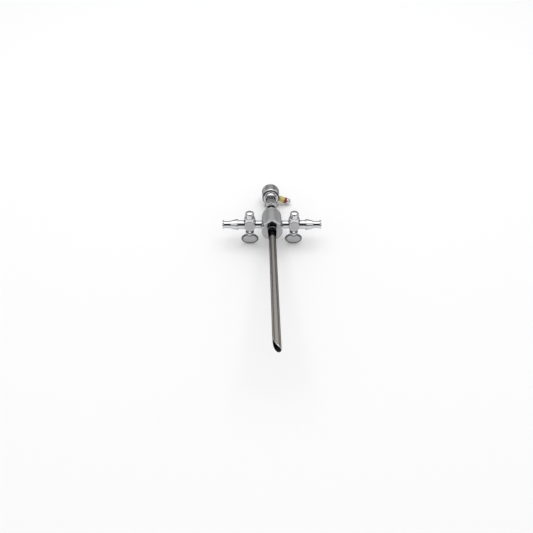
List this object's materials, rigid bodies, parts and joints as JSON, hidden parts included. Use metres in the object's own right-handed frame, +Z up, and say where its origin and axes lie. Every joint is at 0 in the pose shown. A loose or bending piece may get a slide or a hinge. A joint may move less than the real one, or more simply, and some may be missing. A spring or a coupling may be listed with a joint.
{
  "type": "endoscope sheath with two stopcocks",
  "caption": "Rigid endoscope sheath with an oblique tip, a turning manifold with stopcocks and Luer outlets, and a lever lock ring at the rear.",
  "frame": {"origin": "centre of the footprint on the table that the instrument rests on", "axes": "+Z up from the table; +Y along the instrument from the tip to the lock ring; +X along the arms to the right outlet. The sheath axis is tipped up at the front by 11.1 degrees."},
  "size_m": [0.0834, 0.2035, 0.0499],
  "materials": {
    "tube_steel": "fine drawn satin, slightly brown-grey",
    "dark_steel": "dark polished",
    "polished_steel": "mirror polished with fine wipe marks",
    "satin_steel": "fine circumferential satin",
    "blasted_steel": "fine bead-blasted matt",
    "spring_steel": "ground",
    "rubber": "matt",
    "black_plastic": "semi-gloss",
    "yellow_band": "semi-gloss enamel",
    "red_band": "semi-gloss enamel"
  },
  "bodies": {
    "sheath": {"sheath_tube": "tube_steel", "front_ferrule": "dark_steel", "hub_spindle": "polished_steel", "front_seal_ring": "rubber", "rear_seal_ring": "rubber", "front_thrust_washer": "black_plastic", "rear_thrust_washer": "black_plastic", "rear_nut": "satin_steel", "neck_tube": "satin_steel", "rear_cup": "satin_steel", "socket_hub": "polished_steel", "socket_seal_ring": "rubber", "friction_washer": "black_plastic", "stop_pin": "polished_steel", "retaining_ring": "spring_steel", "wave_washer": "spring_steel"},
    "lock": {"lock_ring": "satin_steel", "lock_cover": "satin_steel", "lever_stem": "polished_steel", "lever_band_yellow": "yellow_band", "lever_band_red": "red_band", "lever_tip": "polished_steel"},
    "manifold": {"manifold_drum": "blasted_steel", "left_arm_tube": "polished_steel", "left_cock_body": "polished_steel", "left_outlet_tube": "polished_steel", "left_luer_connector": "polished_steel", "right_arm_tube": "polished_steel", "right_cock_body": "polished_steel", "right_outlet_tube": "polished_steel", "right_luer_connector": "polished_steel"},
    "left_tap": {"left_plug": "polished_steel", "left_key": "satin_steel", "left_washer": "spring_steel", "left_disc_spring": "spring_steel", "left_cap_nut": "polished_steel"},
    "right_tap": {"right_plug": "polished_steel", "right_key": "satin_steel", "right_washer": "spring_steel", "right_disc_spring": "spring_steel", "right_cap_nut": "polished_steel"}
  },
  "joints": [
    {"name": "manifold_turn", "type": "hinge", "parent": "sheath", "child": "manifold", "pos_m": [0, 0.04408, 0.01882], "axis": [0, 0.9812, -0.1928], "continuous": true},
    {"name": "lock_turn", "type": "hinge", "parent": "sheath", "child": "lock", "pos_m": [0, 0.0951, 0.00879], "axis": [0, -0.9812, 0.1928], "range_deg": [0, 60]},
    {"name": "left_tap_turn", "type": "hinge", "parent": "manifold", "child": "left_tap", "pos_m": [-0.0187, 0.04408, 0.01882], "axis": [0, 0.1928, 0.9812], "continuous": true},
    {"name": "right_tap_turn", "type": "hinge", "parent": "manifold", "child": "right_tap", "pos_m": [0.0187, 0.04408, 0.01882], "axis": [0, 0.1928, 0.9812], "continuous": true}
  ]
}
